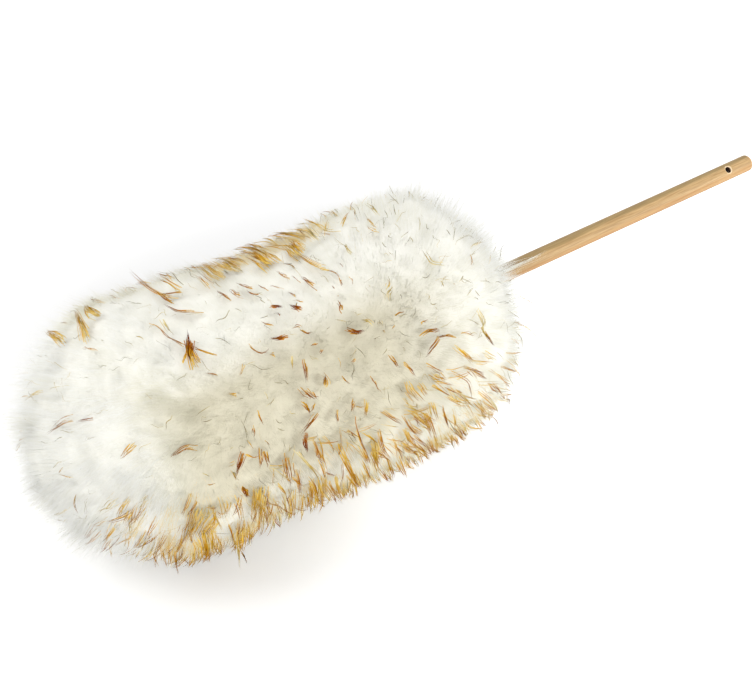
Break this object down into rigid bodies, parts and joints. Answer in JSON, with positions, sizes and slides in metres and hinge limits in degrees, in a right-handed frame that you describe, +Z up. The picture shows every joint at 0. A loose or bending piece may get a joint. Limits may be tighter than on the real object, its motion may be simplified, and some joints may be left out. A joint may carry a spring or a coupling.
{
  "type": "lambswool duster",
  "caption": "Lambswool duster: a plain round wooden handle with a cross-drilled hanging hole, and a thick cream wool head with amber tips wound round its front half.",
  "frame": {"origin": "on the surface that the duster lies on, under the middle of its box", "axes": "+X along the handle towards its butt, +Z up, and the duster lies on the pressed underside of its wool"},
  "size_m": [0.61, 0.1783, 0.1681],
  "materials": {
    "wood": "satin",
    "hide": "matte",
    "wool": "matte",
    "tack": "satin"
  },
  "bodies": {
    "root": {"handle": "wood", "hide_strip": "hide", "tip_disc": "hide", "fleece": "wool", "tip_tack_1": "tack", "tip_tack_2": "tack", "neck_tack_1": "tack", "neck_tack_2": "tack", "end_tack": "tack"}
  },
  "joints": []
}
